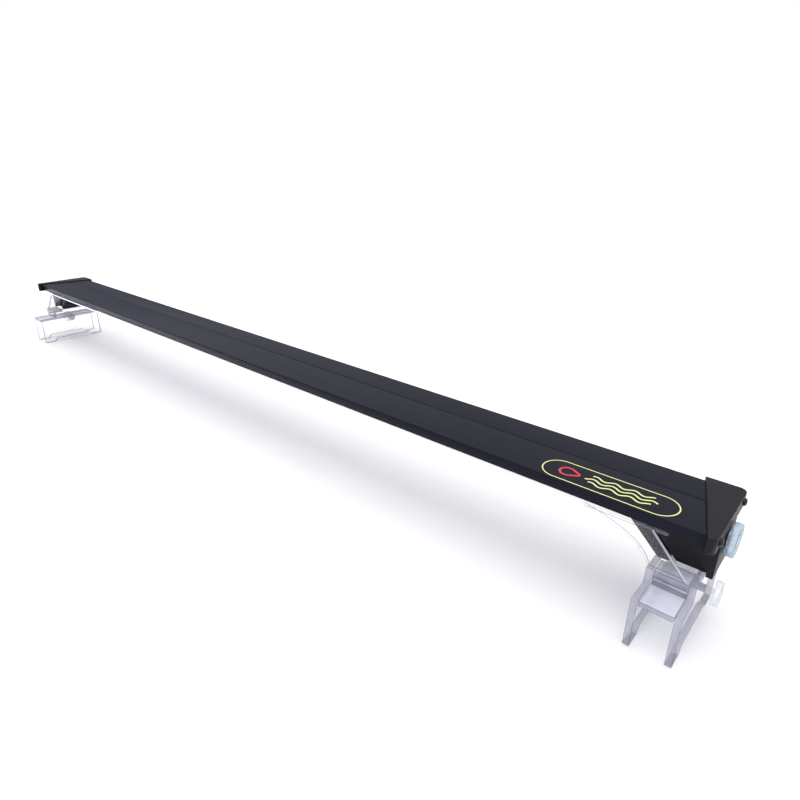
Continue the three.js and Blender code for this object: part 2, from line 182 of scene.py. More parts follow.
class Finish:
    """A material around one Principled shader, written from Python values and signals."""

    def __init__(self, name, **constants):
        self.material = bpy.data.materials.new(name)
        self.material.use_nodes = True
        self.nodes = self.material.node_tree.nodes
        self.links = self.material.node_tree.links
        self.shader = self.nodes["Principled BSDF"]
        for socket, value in constants.items():
            self.set(socket.replace("_", " "), value)

    def add(self, kind, settings=None, values=(), output=0):
        """Adds a node: its settings first, then its sockets in order, or by name from a dict."""
        node = self.nodes.new(kind)
        for key, value in (settings or {}).items():
            setattr(node, key, value)
        pairs = values.items() if isinstance(values, dict) else enumerate(values)
        for key, value in pairs:
            self.feed(node.inputs[key], value)
        return Signal(self, node.outputs[output])

    def feed(self, socket, value):
        """Links a signal to a socket, or writes a plain value into it."""
        if isinstance(value, Signal):
            self.links.new(value.socket, socket)
        elif socket.type == "RGBA":
            socket.default_value = (*value[:3], 1.0)
        else:
            socket.default_value = value

    def set(self, name, value):
        """Feeds one named input of the Principled shader."""
        self.feed(self.shader.inputs[name], value)
        return self

    def place(self, scale=(1, 1, 1)):
        """Object coordinates in metres, times a scale."""
        coordinate = self.add("ShaderNodeTexCoord", output="Object")
        return self.add("ShaderNodeMapping", None, {"Vector": coordinate, "Scale": scale})

    def axis(self, letter):
        """The object coordinate along X, Y or Z."""
        return self.add("ShaderNodeSeparateXYZ", None, (self.place(),), letter)

    def noise(self, scale, detail):
        """Noise between 0 and 1, with that many cells per metre along each axis."""
        values = {"Vector": self.place(scale), "Scale": 1.0, "Detail": detail, "Roughness": 0.55}
        return self.add("ShaderNodeTexNoise", None, values, "Fac")

    def blend(self, factor, first, second):
        """The first colour where the factor is 0, the second where it is 1."""
        node = self.nodes.new("ShaderNodeMix")
        node.data_type = "RGBA"
        self.feed(node.inputs["Factor"], factor)
        self.feed(node.inputs[MIX_FIRST], first)
        self.feed(node.inputs[MIX_SECOND], second)
        return Signal(self, node.outputs[MIX_RESULT])

    def bump(self, height, strength, distance):
        """Raises the surface by a height signal; the distance is in metres."""
        values = {"Height": height, "Strength": strength, "Distance": distance}
        self.set("Normal", self.add("ShaderNodeBump", None, values, "Normal"))
        return self


def shade(value, factor):
    """A colour made darker or lighter."""
    return tuple(min(1.0, channel * factor) for channel in value)


def tinted(finish, base, noise, low, high):
    """Lets the base colour drift between a darker and a lighter shade."""
    finish.set("Base Color", finish.blend(noise, shade(base, low), shade(base, high)))


def anodised():
    """Black anodised aluminium: faint drawing lines along the bar and a soft satin sheen."""
    finish = Finish("anodised black", Metallic=0.0, IOR=1.45, Specular_IOR_Level=0.12,
                    Specular_Tint=(0.74, 0.80, 1.0))
    lines = finish.noise((3, 2200, 2200), 2.0)
    patches = finish.noise((6, 40, 40), 2.0)
    tinted(finish, colours().bar, patches, 0.75, 1.5)
    finish.set("Roughness", 0.24 + patches * 0.08 + lines * 0.08)
    return finish.bump(lines, 0.12, 0.00005).material


def moulded_black():
    """Black moulded plastic with a fine spark-eroded grain."""
    finish = Finish("moulded black", IOR=1.46, Specular_IOR_Level=0.2)
    grain = finish.noise((2600, 2600, 2600), 2.0)
    patches = finish.noise((60, 60, 60), 2.0)
    tinted(finish, colours().moulded, patches, 0.7, 1.6)
    finish.set("Roughness", 0.34 + grain * 0.16 + patches * 0.06)
    return finish.bump(grain, 0.25, 0.00006).material


def clear_face_reflection():
    """Polished face of the clear sheet: nearly invisible straight on, with a painted reflection that
    grows brighter at a slant.
    """
    finish = Finish("clear sheet face", Roughness=0.04, IOR=1.49)
    haze = finish.noise((45, 45, 45), 2.0)
    tinted(finish, colours().sheet, haze, 0.95, 1.05)
    # Painted reflection: the whitish face colour shows more where the face is seen at a slant.
    slant = finish.add("ShaderNodeLayerWeight", None, {"Blend": 0.28}, "Facing")
    finish.set("Alpha", (0.02 + haze * 0.03 + slant * 0.10).clipped())
    finish.set("Roughness", 0.03 + haze * 0.05)
    return finish.material


def clear_slab():
    """Level sheets of the feet, which gather the light and look whiter than the upright ones."""
    finish = Finish("clear slab face", IOR=1.49)
    haze = finish.noise((60, 60, 60), 3.0)
    tinted(finish, colours().slab, haze, 0.94, 1.04)
    finish.set("Alpha", (0.36 + haze * 0.22).clipped())
    finish.set("Roughness", 0.05 + haze * 0.08)
    return finish.material


def clear_glint():
    """Slanting edges of the webs, which catch the light and look almost white."""
    finish = Finish("clear glinting edge", IOR=1.49)
    saw = finish.noise((900, 900, 900), 2.0)
    tinted(finish, colours().glint, saw, 0.9, 1.06)
    finish.set("Alpha", (0.74 + saw * 0.2).clipped())
    finish.set("Roughness", 0.12 + saw * 0.12)
    return finish.material


def clear_arris_shade():
    """The narrow polished corner between a face and an edge, which shows as a dark line: painted
    shade.
    """
    finish = Finish("clear arris", IOR=1.49)
    drift = finish.noise((120, 120, 120), 2.0)
    tinted(finish, colours().arris, drift, 0.6, 1.6)
    finish.set("Alpha", (0.42 + drift * 0.4).clipped())
    finish.set("Roughness", 0.08 + drift * 0.1)
    return finish.material


def clear_edge_shade():
    """Cut and flamed edge of the clear sheet, which looks deeper and greyer than its face: painted
    shade.
    """
    finish = Finish("clear sheet edge", IOR=1.49)
    saw = finish.noise((900, 900, 900), 2.0)
    drift = finish.noise((70, 70, 70), 2.0)
    tinted(finish, colours().sheet_rim_shade, drift, 0.75, 1.45)
    finish.set("Roughness", 0.12 + saw * 0.14)
    finish.set("Alpha", (0.52 + drift * 0.36).clipped())
    return finish.bump(saw, 0.12, 0.00008).material


def cover_clear():
    """Clear cover under the bar. Its long edges carry light from the LEDs, less to the right."""
    finish = Finish("clear cover", IOR=1.49, Emission_Strength=1.0)
    low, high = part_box("lens_cover")
    haze = finish.noise((20, 200, 200), 2.0)
    middle = (low.y + high.y) / 2
    reach = (high.y - low.y) / 2
    edge_width, edge_fade = 0.6 * MM, 0.3 * MM
    dark_from, dark_fade = 0.16, 0.28
    along = finish.axis("X")
    across = abs(finish.axis("Y") - middle)
    edge = ((across - (reach - edge_width)) * (1 / edge_fade)).clipped()
    lit = ((dark_from - along) * (1 / dark_fade)).clipped()
    finish.set("Base Color", finish.blend(edge, (0.86, 0.87, 0.97), (0.72, 0.71, 0.92)))
    finish.set("Alpha", (0.12 + haze * 0.08 + edge * (lit * 0.78 - 0.08)).clipped())
    finish.set("Roughness", 0.05 + haze * 0.06)
    finish.set("Emission Color", finish.blend(edge * lit, (0.0, 0.0, 0.0), (0.72, 0.70, 0.95)))
    return finish.material


def nylon(name, base, body):
    """Translucent plastic of a thumb screw; body says how solid it looks straight on."""
    finish = Finish(name, IOR=1.5)
    cloud = finish.noise((160, 160, 160), 3.0)
    fine = finish.noise((1500, 1500, 1500), 2.0)
    tinted(finish, base, cloud, 0.8, 1.35)
    slant = finish.add("ShaderNodeLayerWeight", None, {"Blend": 0.35}, "Facing")
    finish.set("Alpha", (body + cloud * 0.16 + slant * 0.4).clipped())
    finish.set("Roughness", 0.16 + fine * 0.12)
    return finish.bump(fine, 0.1, 0.00005).material


def board_white():
    """White solder mask, washed with red and blue light near those LEDs."""
    finish = Finish("white board", IOR=1.5, Emission_Strength=1.0)
    spots = led_places()
    period = len(LED_ORDER) * (spots[1][0] - spots[0][0])
    cloth = finish.noise((1800, 1800, 60), 2.0)
    tinted(finish, colours().board, cloth, 0.93, 1.06)
    along = finish.axis("X")

    def wash(start, spacing, core, reach):
        """Full light within the core distance of each lamp, fading out at the reach."""
        turns = (along - start) * (1 / spacing)
        off = abs(turns - turns.math("ROUND")) * spacing
        return ((reach - off) * (1 / (reach - core))).clipped()

    def lamp_wash(name, core, reach):
        return wash(spots[LED_ORDER.index(name)][0], period, core, reach)

    near_lamp = wash(spots[0][0], spots[1][0] - spots[0][0], 2 * MM, 8 * MM) ** 1.5
    light = finish.blend(near_lamp, (0.13, 0.13, 0.17), (0.36, 0.37, 0.42))
    light = finish.blend(lamp_wash("red", 3.5 * MM, 8.5 * MM), light, (0.95, 0.012, 0.008))
    light = finish.blend(lamp_wash("blue", 7.5 * MM, 13 * MM), light, (0.045, 0.08, 0.55))
    finish.set("Emission Color", light)
    finish.set("Roughness", 0.42 + cloth * 0.14)
    return finish.bump(cloth, 0.08, 0.00005).material


def metal(name, base, rough, grain_scale):
    """Plated or turned metal with a fine grain."""
    finish = Finish(name, Metallic=1.0)
    grain = finish.noise(grain_scale, 3.0)
    tinted(finish, base, grain, 0.82, 1.15)
    finish.set("Roughness", (rough - 0.06) + grain * 0.16)
    return finish.bump(grain, 0.15, 0.00004).material


def plain_plastic(name, base, rough, scale=(500, 500, 500)):
    """Moulded plastic, insulation or print with a slight unevenness."""
    finish = Finish(name)
    grain = finish.noise(scale, 3.0)
    tinted(finish, base, grain, 0.86, 1.16)
    finish.set("Roughness", (rough - 0.05) + grain * 0.12)
    return finish.bump(grain, 0.12, 0.00005).material


def lamp(name, base, light, strength):
    """Lit window of an LED, with a fine unevenness in its light."""
    finish = Finish(name, Emission_Strength=strength, Roughness=0.35)
    dots = finish.noise((2500, 2500, 2500), 2.0)
    tinted(finish, base, dots, 0.9, 1.1)
    finish.set("Emission Color", finish.blend(dots, light, shade(light, 0.8)))
    return finish.material


FINISHES = {
    "anodised": anodised,
    "moulded": moulded_black,
    "face": clear_face_reflection,
    "slab": clear_slab,
    "edge": clear_edge_shade,
    "glint": clear_glint,
    "arris": clear_arris_shade,
    "cover": cover_clear,
    "blue nylon": lambda: nylon("blue nylon", colours().nylon, 0.34),
    "clear nylon": lambda: nylon("clear nylon", colours().clamp, 0.10),
    "board": board_white,
    "steel": lambda: metal("plated steel", (0.52, 0.53, 0.55), 0.28, (900, 900, 900)),
    "dark steel": lambda: metal("blackened steel", (0.035, 0.036, 0.04), 0.34, (900, 900, 900)),
    "brass": lambda: metal("turned brass", (0.62, 0.43, 0.17), 0.3, (200, 1800, 1800)),
    "silver": lambda: metal("tinned ends", (0.68, 0.68, 0.70), 0.32, (1500, 1500, 1500)),
    "white plastic": lambda: plain_plastic("white plastic", (0.72, 0.71, 0.67), 0.42),
    "pad rubber": lambda: plain_plastic("pad plastic", (0.60, 0.61, 0.64), 0.5),
    "tape": lambda: plain_plastic("thermal tape", (0.42, 0.43, 0.46), 0.8, (700, 700, 700)),
    "red wire": lambda: plain_plastic("red insulation", (0.42, 0.015, 0.015), 0.42),
    "black wire": lambda: plain_plastic("black insulation", (0.012, 0.012, 0.012), 0.42),
    "chip": lambda: plain_plastic("chip body", (0.010, 0.010, 0.011), 0.4, (2500, 2500, 2500)),
    "ink": lambda: plain_plastic("board ink", (0.02, 0.02, 0.035), 0.5, (900, 900, 900)),
    "led case": lambda: plain_plastic("led case", (0.82, 0.82, 0.80), 0.4, (1500, 1500, 1500)),
    "print": lambda: plain_plastic("pale print", colours().print, 0.5, (900, 900, 900)),
    "accent": lambda: plain_plastic("red print", colours().accent, 0.5, (900, 900, 900)),
    "white lamp": lambda: lamp("white lamp", (0.9, 0.9, 0.7), (1.0, 1.0, 0.90), 5.0),
    "red lamp": lambda: lamp("red lamp", (0.9, 0.3, 0.1), (1.0, 0.20, 0.03), 4.0),
    "blue lamp": lambda: lamp("blue lamp", (0.5, 0.6, 0.9), (0.45, 0.6, 1.0), 5.0),
}
_made = {}  # materials so far, by the name of their finish


def finish(name):
    """The material of that name, made once."""
    if name not in _made:
        _made[name] = FINISHES[name]()
    return _made[name]


# ---------------------------------------------------------------- mesh making

def new_object(name, mesh, *finishes):
    """A finished piece: its object sits at the origin, its place is in its mesh."""
    piece = bpy.data.objects.new(name, mesh)
    bpy.context.scene.collection.objects.link(piece)
    mesh.materials.clear()
    for item in finishes:
        mesh.materials.append(finish(item))
    return piece


def from_bmesh(name, bm, *finishes, smooth=None):
    """A finished piece from a bmesh, smooth below an angle in degrees or else flat."""
    bmesh.ops.recalc_face_normals(bm, faces=bm.faces)
    mesh = bpy.data.meshes.new(name)
    bm.to_mesh(mesh)
    bm.free()
    piece = new_object(name, mesh, *finishes)
    if smooth is not None:
        smooth_below(piece, smooth)
    return piece


def smooth_below(piece, degrees):
    """Smooth shading, with creases where faces meet at more than that angle."""
    mesh = piece.data
    mesh.polygons.foreach_set("use_smooth", [True] * len(mesh.polygons))
    mesh.set_sharp_from_angle(angle=math.radians(degrees))


def settle(piece):
    """Turns a piece and its modifiers into one plain mesh."""
    bpy.context.view_layer.update()
    mesh = bpy.data.meshes.new_from_object(
        piece.evaluated_get(bpy.context.evaluated_depsgraph_get()))
    piece.modifiers.clear()
    old = piece.data
    piece.data = mesh
    bpy.data.meshes.remove(old)
    return piece


def softened(name, node, width, *finishes, smooth=32):
    """A copy of a CAD node with clean faces and rounded edges."""
    bm = bmesh.new()
    bm.from_mesh(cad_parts[node].data)
    bmesh.ops.remove_doubles(bm, verts=bm.verts, dist=0.01 * MM)
    bmesh.ops.dissolve_limit(bm, angle_limit=FLAT_ANGLE, verts=bm.verts, edges=bm.edges)
    mesh = bpy.data.meshes.new(name)
    bm.to_mesh(mesh)
    bm.free()
    piece = new_object(name, mesh, *finishes)
    bevel = piece.modifiers.new("edge", "BEVEL")
    bevel.width = width
    bevel.segments = 2
    bevel.limit_method = "ANGLE"
    bevel.angle_limit = EDGE_ANGLE
    bevel.use_clamp_overlap = True
    settle(piece)
    smooth_below(piece, smooth)
    return piece


def stand_for(piece, slot, body, *nodes):
    """Hides the CAD nodes a piece stands for and attaches it to the body that moves it; the slot is
    not used.
    """
    if nodes:
        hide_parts(*nodes)
    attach(piece, body)
    return piece


def paint(node, name):
    """Gives a CAD node that keeps its shape its finish."""
    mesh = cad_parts[node].data
    mesh.materials.clear()
    mesh.materials.append(finish(name))


def ring(bm, x, centre, sides, reach):
    """Adds a ring of points around x, whose distance from the centre depends on the turn."""
    points = []
    for step in range(sides):
        turn = 2 * math.pi * step / sides
        away = reach(turn)
        points.append(bm.verts.new((x, centre[1] + away * math.cos(turn),
                                    centre[2] + away * math.sin(turn))))
    return points


def skin(bm, rings, sides):
    """Adds the faces between one ring and the next. A ring may be a single point."""
    for first, second in zip(rings, rings[1:]):
        for step in range(sides):
            after = (step + 1) % sides
            corners = [first[step % len(first)], first[after % len(first)],
                       second[after % len(second)], second[step % len(second)]]
            unique = list(dict.fromkeys(corners))
            if len(unique) > 2:
                bm.faces.new(unique)


def turned(bm, profile, start, direction, sides=40):
    """Adds a turned shape: pairs of radius and distance from start along x or, for -1, against it."""
    rings = []
    for radius, along in profile:
        x = start[0] + direction * along
        if radius == 0:
            rings.append([bm.verts.new((x, start[1], start[2]))])
        else:
            rings.append(ring(bm, x, start, sides, lambda turn: radius))
    skin(bm, rings, sides)


def block(bm, centre, size, bevel=0.0):
    """Adds a box, with its edges rounded where a bevel is given."""
    placing = Matrix.Translation(centre) @ Matrix.Diagonal((*size, 1.0))
    made = bmesh.ops.create_cube(bm, size=1.0, matrix=placing)
    if bevel:
        edges = {edge for vert in made["verts"] for edge in vert.link_edges}
        bmesh.ops.bevel(bm, geom=list(edges), offset=bevel, segments=2, affect="EDGES", profile=0.5)


# ---------------------------------------------------------------- repeated pieces

def repeat_tree():
    """Geometry nodes that set a copy of a piece on every point, at a given turn."""
    tree = bpy.data.node_groups.get("repeated pieces")
    if tree:
        return tree
    tree = bpy.data.node_groups.new("repeated pieces", "GeometryNodeTree")
    face = tree.interface
    face.new_socket("Points", in_out="INPUT", socket_type="NodeSocketGeometry")
    face.new_socket("Piece", in_out="INPUT", socket_type="NodeSocketObject")
    face.new_socket("Turn", in_out="INPUT", socket_type="NodeSocketVector")
    face.new_socket("Finish", in_out="INPUT", socket_type="NodeSocketMaterial")
    face.new_socket("Pieces", in_out="OUTPUT", socket_type="NodeSocketGeometry")
    given = tree.nodes.new("NodeGroupInput")
    result = tree.nodes.new("NodeGroupOutput")
    source = tree.nodes.new("GeometryNodeObjectInfo")
    copies = tree.nodes.new("GeometryNodeInstanceOnPoints")
    real = tree.nodes.new("GeometryNodeRealizeInstances")
    paint_all = tree.nodes.new("GeometryNodeSetMaterial")
    link = tree.links.new
    link(given.outputs["Piece"], source.inputs["Object"])
    link(given.outputs["Points"], copies.inputs["Points"])
    link(source.outputs["Geometry"], copies.inputs["Instance"])
    link(given.outputs["Turn"], copies.inputs["Rotation"])
    link(copies.outputs["Instances"], real.inputs["Geometry"])
    link(real.outputs["Geometry"], paint_all.inputs["Geometry"])
    link(given.outputs["Finish"], paint_all.inputs["Material"])
    link(paint_all.outputs["Geometry"], result.inputs["Pieces"])
    return tree


def repeated(name, shape, places, finish_name, turn=(0, 0, 0)):
    """One piece made of copies of a bmesh shape at the places given."""
    mesh = bpy.data.meshes.new(name + " single")
    bmesh.ops.recalc_face_normals(shape, faces=shape.faces)
    shape.to_mesh(mesh)
    shape.free()
    single = bpy.data.objects.new(name + " single", mesh)
    bpy.context.scene.collection.objects.link(single)
    points = bpy.data.meshes.new(name)
    points.from_pydata([tuple(place) for place in places], [], [])
    piece = bpy.data.objects.new(name, points)
    bpy.context.scene.collection.objects.link(piece)
    tree = repeat_tree()
    modifier = piece.modifiers.new("copies", "NODES")
    modifier.node_group = tree
    values = {"Piece": single, "Turn": turn, "Finish": finish(finish_name)}
    for item in tree.interface.items_tree:
        if item.in_out == "INPUT" and item.name in values:
            modifier[item.identifier] = values[item.name]
    settle(piece)
    bpy.data.objects.remove(single)
    smooth_below(piece, 30)
    return piece


def led_places():
    """The middle of each LED's lit face, which looks down."""
    places = []
    for node in BOARDS:
        low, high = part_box(node)
        pitch = (high.x - low.x) / LEDS_PER_BOARD
        for number in range(LEDS_PER_BOARD):
            places.append(Vector((low.x + (number + 0.5) * pitch, (low.y + high.y) / 2, low.z)))
    return places


# ---------------------------------------------------------------- the bar

def build_bar():
    """The bar's shell and the mark printed on it."""
    shell = softened("bar_shell", "housing", sizes().bar_edge, "anodised")
    stand_for(shell, "anodised_black", "root", "housing")
    build_mark()


def ribbon(bm, path, width, height, z, closed=False):
    """Adds a flat printed line of a given width along a path in x and y."""
    count = len(path)
    rows = []
    for index, (x, y) in enumerate(path):
        before = path[index - 1] if closed or index else path[index]
        after = path[(index + 1) % count] if closed or index < count - 1 else path[index]
        side = Vector((before[1] - after[1], after[0] - before[0])).normalized() * width / 2
        rows.append([bm.verts.new((x + side.x * sign, y + side.y * sign, z + lift))
                     for sign, lift in ((-1, 0), (1, 0), (1, height), (-1, height))])
    for index in range(count if closed else count - 1):
        first, second = rows[index], rows[(index + 1) % count]
        for corner in range(4):
            after = (corner + 1) % 4
            bm.faces.new((first[corner], first[after], second[after], second[corner]))
    if not closed:
        bm.faces.new(rows[0])
        bm.faces.new(list(reversed(rows[-1])))


def pill(centre, length, width):
    """The outline of an oval with straight sides and round ends."""
    steps = 24
    radius = width / 2
    straight = length / 2 - radius
    points = []
    for side in (1, -1):
        for step in range(steps + 1):
            turn = -math.pi / 2 + math.pi * step / steps
            points.append((centre[0] + side * (straight + radius * math.cos(turn)),
                           centre[1] + side * radius * math.sin(turn)))
    return points


def build_mark():
    """A plain oval printed near the right end of the bar, holding a red drop and pale waves."""
    low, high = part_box("housing")
    from_end, from_front = 62.5 * MM, 13.1 * MM
    centre = (high.x - from_end, low.y + from_front)
    top = high.z + 0.01 * MM
    ink = 0.04 * MM
    bm = bmesh.new()
    ribbon(bm, pill(centre, sizes().mark_length, sizes().mark_width), 0.75 * MM, ink, top, True)
    wave_length = 12 * MM
    wave_rise = 1.3 * MM
    row_gap = 4.2 * MM
    steps = 60
    for row in (-1, 0, 1):
        start = centre[0] - (14 - 3 * abs(row)) * MM
        stop = centre[0] + (30 - 3 * abs(row)) * MM
        path = []
        for step in range(steps + 1):
            x = start + (stop - start) * step / steps
            rise = wave_rise * math.sin(2 * math.pi * (x - centre[0]) / wave_length)
            path.append((x, centre[1] + row * row_gap + rise))
        ribbon(bm, path, 1.1 * MM, ink, top)
    waves = from_bmesh("printed_oval", bm, "print")
    stand_for(waves, "white_plastic", "root")
    bm = bmesh.new()
    drop_x = centre[0] - 26 * MM
    reach, tip = 4.784 * MM, 3.128 * MM
    steps = 48
    drop = []
    for step in range(steps):
        turn = 2 * math.pi * step / steps
        pull = tip * max(0.0, math.cos(turn)) ** 6
        drop.append((drop_x + (reach + pull) * math.cos(turn), centre[1] + reach * math.sin(turn)))
    ribbon(bm, drop, 1.6 * MM, ink, top, True)
    stand_for(from_bmesh("printed_drop", bm, "accent"), "red_wire", "root")


# ---------------------------------------------------------------- the LED row

def build_cover():
    """The clear cover that slides under the LEDs."""
    cover = softened("cover_sheet", "lens_cover", 0.2 * MM, "cover")
    stand_for(cover, "clear_cover", "root", "lens_cover")


def board_furniture(places):
    """Cut lines, chip resistors and their printed frames, beside the LEDs."""
    pitch = places[1].x - places[0].x
    face = places[0].z + LED_HEIGHT
    low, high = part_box(BOARDS[0])
    half = (high.y - low.y) / 2
    y = places[0].y
    cuts = [Vector((spot.x + pitch / 2, y, face)) for number, spot in enumerate(places)
            if number % 2 == 0]
    line = bmesh.new()
    block(line, (0, 0, -0.02 * MM), (0.22 * MM, 2 * half, 0.04 * MM))
    stand_for(repeated("board_cut_lines", line, cuts, "ink"), "white_board", "root")
    chips = [Vector((spot.x + pitch / 2, y, face)) for number, spot in enumerate(places)
             if number % len(LED_ORDER) in CHIP_AFTER and (number + 1) % LEDS_PER_BOARD]
    body = bmesh.new()
    block(body, (0, 0, -0.3 * MM), (2.2 * MM, 1.6 * MM, 0.55 * MM), 0.06 * MM)
    stand_for(repeated("resistor_bodies", body, chips, "chip"), "black_plastic", "root")
    ends = bmesh.new()
    for side in (-1, 1):
        block(ends, (side * 1.35 * MM, 0, -0.3 * MM), (0.55 * MM, 1.62 * MM, 0.58 * MM), 0.08 * MM)
    stand_for(repeated("resistor_ends", ends, chips, "silver"), "steel", "root")
    outline = bmesh.new()
    corners = [(right * 2.3 * MM, back * 1.35 * MM)
               for right, back in ((-1, -1), (1, -1), (1, 1), (-1, 1))]
    ribbon(outline, corners, 0.16 * MM, 0.03 * MM, -0.03 * MM, True)
    stand_for(repeated("resistor_frames", outline, chips, "ink"), "black_plastic", "root")
    rails = bmesh.new()
    for side in (-1, 1):
        for node in BOARDS:
            low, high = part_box(node)
            length = high.x - low.x - 3 * MM
            block(rails, ((low.x + high.x) / 2, y + side * (half - 0.55 * MM), face - 0.012 * MM),
                  (length, 0.12 * MM, 0.024 * MM))
    stand_for(from_bmesh("board_edge_lines", rails, "ink"), "white_board", "root")


def build_led_row():
    """The boards, their bridges and tape, and the LEDs with their terminals."""
    for node in BOARDS:
        paint(node, "board")
    for node in LINKS:
        piece = softened(node + "_bridge", node, 0.15 * MM, "white plastic")
        stand_for(piece, "white_plastic", "root", node)
    paint("thermal_tape", "tape")
    places = led_places()
    wide, deep, high = LED_CASE
    level = LED_HEIGHT - high / 2
    inside = (wide - 2 * LED_WALL, deep - 2 * LED_WALL)
    case = bmesh.new()
    for side in (-1, 1):
        block(case, (side * (wide - LED_WALL) / 2, 0, level), (LED_WALL, deep, high), 0.1 * MM)
        block(case, (0, side * (deep - LED_WALL) / 2, level), (inside[0], LED_WALL, high), 0.1 * MM)
    spots = {name: [] for name in LED_ORDER}
    for number, spot in enumerate(places):
        spots[LED_ORDER[number % len(LED_ORDER)]].append(spot)
    stand_for(repeated("led_cases", case, spots["white"], "led case"), "white_plastic", "root")
    windows = {"white": inside, "red": (3.4 * MM, 1.4 * MM), "blue": (4.0 * MM, 1.7 * MM)}
    for name, (length, width) in windows.items():
        window = bmesh.new()
        block(window, (0, 0, -0.03 * MM), (length, width, 0.07 * MM), 0.02 * MM)
        piece = repeated(f"led_windows_{name}", window, spots[name], f"{name} lamp")
        stand_for(piece, "white_board", "root")
    feet = bmesh.new()
    for side in (-1, 1):
        block(feet, (side * 3.15 * MM, 0, 0.68 * MM), (0.75 * MM, 2.2 * MM, 0.2 * MM), 0.05 * MM)
    stand_for(repeated("led_terminals", feet, places, "silver"), "steel", "root")
    board_furniture(places)


def build_inlet():
    """The power inlet with its pin, and its two feed wires."""
    low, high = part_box("power_jack")
    centre = (low + high) / 2
    outer = (high.z - low.z) / 2
    barrel, bore, edge = 2.9 * MM, 1.8 * MM, 0.25 * MM
    length = high.x - low.x
    flange = length - 1.2 * MM
    body = bmesh.new()
    turned(body, [(0, 0), (barrel - 0.1 * MM, 0), (barrel, 0.1 * MM), (barrel, flange),
                  (outer - 0.1 * MM, flange), (outer, flange + 0.1 * MM), (outer, length - edge),
                  (outer - edge, length), (bore + edge, length), (bore, length - edge),
                  (bore, 2 * MM), (0, 2 * MM)],
           (high.x, centre.y, centre.z), -1, 48)
    shell = from_bmesh("inlet_shell", body, "moulded", smooth=35)
    stand_for(shell, "black_plastic", "root", "power_jack")
    pin = bmesh.new()
    turned(pin, [(0, 1.9 * MM), (0.6 * MM, 1.9 * MM), (0.6 * MM, length - 1.3 * MM),
                 (0.35 * MM, length - 1 * MM), (0, length - 1 * MM)],
           (high.x, centre.y, centre.z), -1, 24)
    stand_for(from_bmesh("inlet_pin", pin, "silver", smooth=35), "steel", "root")
    paint("feed_wire_positive", "red wire")
    paint("feed_wire_negative", "black wire")


# ---------------------------------------------------------------- ends and feet

def build_end_caps():
    """The black sleeves over the bar's ends."""
    for end in ENDS:
        cap = softened(f"{end}_cap_shell", f"{end}_end_cap", 0.18 * MM, "moulded", smooth=25)
        stand_for(cap, "black_plastic", "root", f"{end}_end_cap")


def build_holders():
    """The black holder under each cap and the strut that slants from it."""
    for end in ENDS:
        for part in ("holder", "strut"):
            piece = softened(f"{end}_{part}_moulding", f"{end}_{part}", sizes().moulded_edge,
                             "moulded")
            stand_for(piece, "black_plastic", "root", f"{end}_{part}")


def sheet_light_and_shade(part, across, outboard):
    """The painted light or shade a face takes, by how far its normal points across the sheet and
    outboard.
    """
    level, tilted, slanting = 0.96, 0.12, 0.3
    if across > level:
        return FACE
    if across > tilted:
        return ARRIS
    if "gusset" in part:
        return GLINT if outboard > slanting else FACE
    return EDGE


def build_feet():
    """Clear sheets: polished faces on the broad sides, cut edges all round, and corner lines, painted
    lighter or darker by the way each face points.
    """
    for end, side in ENDS.items():
        for part in SHEETS:
            node = f"{end}_{part}"
            low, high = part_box(node)
            span = high - low
            thin = min(range(3), key=lambda axis: span[axis])
            # Level sheets take the whiter slab colour, painted light that they gather; upright sheets
            # take the plain face colour.
            broad = "slab" if thin == 2 else "face"
            piece = softened(f"{node}_sheet", node, sizes().sheet_edge, broad, "edge", "arris",
                             "glint")
            for polygon in piece.data.polygons:
                polygon.material_index = sheet_light_and_shade(
                    part, abs(polygon.normal[thin]), polygon.normal.x * side)
            stand_for(piece, "clear_acrylic", "root", node)


def cap_screw():
    """A pan head facing +x, on a plain shank that runs to -x."""
    bm = bmesh.new()
    turned(bm, [(0, HEAD_RISE), (1.3 * MM, 1.42 * MM), (1.9 * MM, 1.2 * MM), (2.3 * MM, 0.8 * MM),
                (2.5 * MM, 0.35 * MM), (2.5 * MM, 0), (1.15 * MM, 0), (1.15 * MM, -11.4 * MM),
                (0.7 * MM, -12 * MM), (0, -12 * MM)], (0, 0, 0), 1, 28)
    return bm


def cross_recess():
    """The dark cross pressed into a pan head, as a thin inlay on its face."""
    bm = bmesh.new()
    long, wide, deep = 2.3 * MM, 0.5 * MM, 0.06 * MM
    block(bm, (HEAD_RISE, 0, 0), (deep, long, wide))
    block(bm, (HEAD_RISE + 0.005 * MM, 0, 0), (deep, wide, long))
    return bm


def build_fasteners():
    """Cap screws, holder screws and threaded inserts."""
    for end, side in ENDS.items():
        nodes = [f"{end}_cap_screw_{where}" for where in ("front", "rear")]
        places = []
        for node in nodes:
            low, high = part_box(node)
            seat = high.x - HEAD_RISE if side > 0 else low.x + HEAD_RISE
            places.append(Vector((seat, (low.y + high.y) / 2, (low.z + high.z) / 2)))
        turn = (0, 0, 0) if side > 0 else (0, 0, math.pi)
        heads = repeated(f"{end}_cap_screws", cap_screw(), places, "dark steel", turn)
        stand_for(heads, "steel", "root", *nodes)
        crosses = repeated(f"{end}_cap_screw_crosses", cross_recess(), places, "chip", turn)
        stand_for(crosses, "steel", "root")
        for where in ("front", "rear"):
            paint(f"{end}_holder_screw_{where}", "steel")
        paint(f"{end}_threaded_insert", "brass")


def threaded_shank(bm, start, direction, length, radius, pitch, depth):
    """Adds a shank whose surface follows a screw thread, running from start along x."""
    sides = 24
    rows_per_turn = 6
    rows = int(length / pitch * rows_per_turn)
    rings = []
    for row in range(rows + 1):
        along = length * row / rows
        fade = min(1.0, (length - along) / pitch)

        def reach(turn):
            phase = (along / pitch - direction * turn / (2 * math.pi)) % 1.0
            return radius - depth * (abs(2 * phase - 1) * fade + (1 - fade))

        rings.append(ring(bm, start[0] + direction * along, start, sides, reach))
    skin(bm, rings, sides)
    bm.faces.new(rings[0])
    bm.faces.new(list(reversed(rings[-1])))


